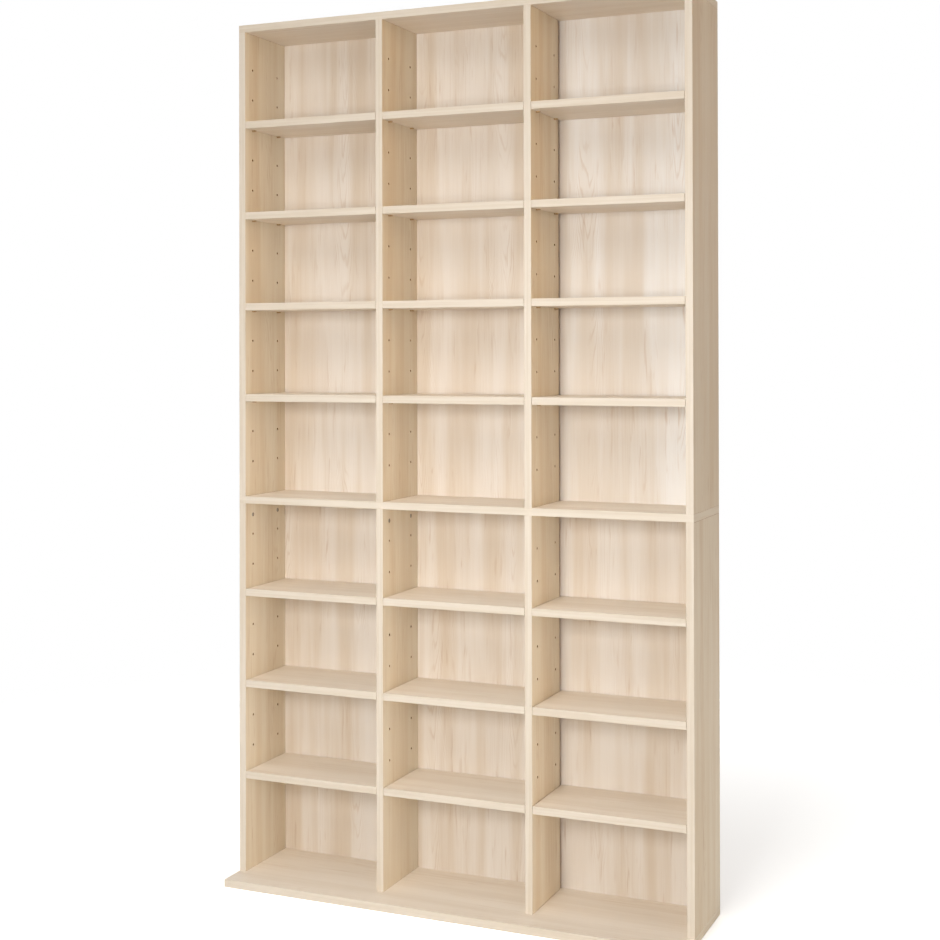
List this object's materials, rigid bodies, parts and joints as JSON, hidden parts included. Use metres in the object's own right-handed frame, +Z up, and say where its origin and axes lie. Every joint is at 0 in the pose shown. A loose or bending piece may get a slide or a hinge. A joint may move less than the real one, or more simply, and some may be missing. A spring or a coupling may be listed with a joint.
{
  "type": "media storage tower",
  "caption": "Tall open-fronted storage tower for discs, with dividers, loose shelves on pins in rows of holes, thin backs in grooves and a base board that reaches out in front.",
  "frame": {"origin": "on the floor, under the middle of the tower's outline", "axes": "+Z up along the height, -Y towards the open front, +X to the right as seen from the front"},
  "size_m": [0.984, 0.25, 1.8],
  "materials": {
    "laminated_board": "pale maple laminate on particle board, satin",
    "back_board": "pale maple foil on thin fibre board, satin",
    "plated_steel": "zinc plated"
  },
  "bodies": {
    "carcass": {"base_board": "laminated_board", "middle_board": "laminated_board", "top_board": "laminated_board", "side_left_lower": "laminated_board", "divider_left_lower": "laminated_board", "divider_right_lower": "laminated_board", "side_right_lower": "laminated_board", "side_left_upper": "laminated_board", "divider_left_upper": "laminated_board", "divider_right_upper": "laminated_board", "side_right_upper": "laminated_board", "back_left_lower": "back_board", "back_centre_lower": "back_board", "back_right_lower": "back_board", "back_left_upper": "back_board", "back_centre_upper": "back_board", "back_right_upper": "back_board", "base_screw_side_left_front": "plated_steel", "base_screw_side_left_rear": "plated_steel", "base_screw_divider_left_front": "plated_steel", "base_screw_divider_left_rear": "plated_steel", "base_screw_divider_right_front": "plated_steel", "base_screw_divider_right_rear": "plated_steel", "base_screw_side_right_front": "plated_steel", "base_screw_side_right_rear": "plated_steel", "top_screw_side_left_front": "plated_steel", "top_screw_side_left_rear": "plated_steel", "top_screw_side_right_front": "plated_steel", "top_screw_side_right_rear": "plated_steel", "tie_bolt_side_left_front": "plated_steel", "tie_bolt_side_left_rear": "plated_steel", "tie_bolt_divider_left_front": "plated_steel", "tie_bolt_divider_left_rear": "plated_steel", "tie_bolt_divider_right_front": "plated_steel", "tie_bolt_divider_right_rear": "plated_steel", "tie_bolt_side_right_front": "plated_steel", "tie_bolt_side_right_rear": "plated_steel"},
    "shelf_left_1": {"shelf_left_1": "laminated_board"},
    "shelf_left_2": {"shelf_left_2": "laminated_board"},
    "shelf_left_3": {"shelf_left_3": "laminated_board"},
    "shelf_left_4": {"shelf_left_4": "laminated_board"},
    "shelf_left_5": {"shelf_left_5": "laminated_board"},
    "shelf_left_6": {"shelf_left_6": "laminated_board"},
    "shelf_left_7": {"shelf_left_7": "laminated_board"},
    "shelf_centre_1": {"shelf_centre_1": "laminated_board"},
    "shelf_centre_2": {"shelf_centre_2": "laminated_board"},
    "shelf_centre_3": {"shelf_centre_3": "laminated_board"},
    "shelf_centre_4": {"shelf_centre_4": "laminated_board"},
    "shelf_centre_5": {"shelf_centre_5": "laminated_board"},
    "shelf_centre_6": {"shelf_centre_6": "laminated_board"},
    "shelf_centre_7": {"shelf_centre_7": "laminated_board"},
    "shelf_right_1": {"shelf_right_1": "laminated_board"},
    "shelf_right_2": {"shelf_right_2": "laminated_board"},
    "shelf_right_3": {"shelf_right_3": "laminated_board"},
    "shelf_right_4": {"shelf_right_4": "laminated_board"},
    "shelf_right_5": {"shelf_right_5": "laminated_board"},
    "shelf_right_6": {"shelf_right_6": "laminated_board"},
    "shelf_right_7": {"shelf_right_7": "laminated_board"}
  },
  "joints": [
    {"name": "pull_out_left_1", "type": "slide", "parent": "carcass", "child": "shelf_left_1", "axis": [0, -1, 0], "range_m": [0, 0.17]},
    {"name": "pull_out_left_2", "type": "slide", "parent": "carcass", "child": "shelf_left_2", "axis": [0, -1, 0], "range_m": [0, 0.17]},
    {"name": "pull_out_left_3", "type": "slide", "parent": "carcass", "child": "shelf_left_3", "axis": [0, -1, 0], "range_m": [0, 0.17]},
    {"name": "pull_out_left_4", "type": "slide", "parent": "carcass", "child": "shelf_left_4", "axis": [0, -1, 0], "range_m": [0, 0.17]},
    {"name": "pull_out_left_5", "type": "slide", "parent": "carcass", "child": "shelf_left_5", "axis": [0, -1, 0], "range_m": [0, 0.17]},
    {"name": "pull_out_left_6", "type": "slide", "parent": "carcass", "child": "shelf_left_6", "axis": [0, -1, 0], "range_m": [0, 0.17]},
    {"name": "pull_out_left_7", "type": "slide", "parent": "carcass", "child": "shelf_left_7", "axis": [0, -1, 0], "range_m": [0, 0.17]},
    {"name": "pull_out_centre_1", "type": "slide", "parent": "carcass", "child": "shelf_centre_1", "axis": [0, -1, 0], "range_m": [0, 0.17]},
    {"name": "pull_out_centre_2", "type": "slide", "parent": "carcass", "child": "shelf_centre_2", "axis": [0, -1, 0], "range_m": [0, 0.17]},
    {"name": "pull_out_centre_3", "type": "slide", "parent": "carcass", "child": "shelf_centre_3", "axis": [0, -1, 0], "range_m": [0, 0.17]},
    {"name": "pull_out_centre_4", "type": "slide", "parent": "carcass", "child": "shelf_centre_4", "axis": [0, -1, 0], "range_m": [0, 0.17]},
    {"name": "pull_out_centre_5", "type": "slide", "parent": "carcass", "child": "shelf_centre_5", "axis": [0, -1, 0], "range_m": [0, 0.17]},
    {"name": "pull_out_centre_6", "type": "slide", "parent": "carcass", "child": "shelf_centre_6", "axis": [0, -1, 0], "range_m": [0, 0.17]},
    {"name": "pull_out_centre_7", "type": "slide", "parent": "carcass", "child": "shelf_centre_7", "axis": [0, -1, 0], "range_m": [0, 0.17]},
    {"name": "pull_out_right_1", "type": "slide", "parent": "carcass", "child": "shelf_right_1", "axis": [0, -1, 0], "range_m": [0, 0.17]},
    {"name": "pull_out_right_2", "type": "slide", "parent": "carcass", "child": "shelf_right_2", "axis": [0, -1, 0], "range_m": [0, 0.17]},
    {"name": "pull_out_right_3", "type": "slide", "parent": "carcass", "child": "shelf_right_3", "axis": [0, -1, 0], "range_m": [0, 0.17]},
    {"name": "pull_out_right_4", "type": "slide", "parent": "carcass", "child": "shelf_right_4", "axis": [0, -1, 0], "range_m": [0, 0.17]},
    {"name": "pull_out_right_5", "type": "slide", "parent": "carcass", "child": "shelf_right_5", "axis": [0, -1, 0], "range_m": [0, 0.17]},
    {"name": "pull_out_right_6", "type": "slide", "parent": "carcass", "child": "shelf_right_6", "axis": [0, -1, 0], "range_m": [0, 0.17]},
    {"name": "pull_out_right_7", "type": "slide", "parent": "carcass", "child": "shelf_right_7", "axis": [0, -1, 0], "range_m": [0, 0.17]}
  ]
}
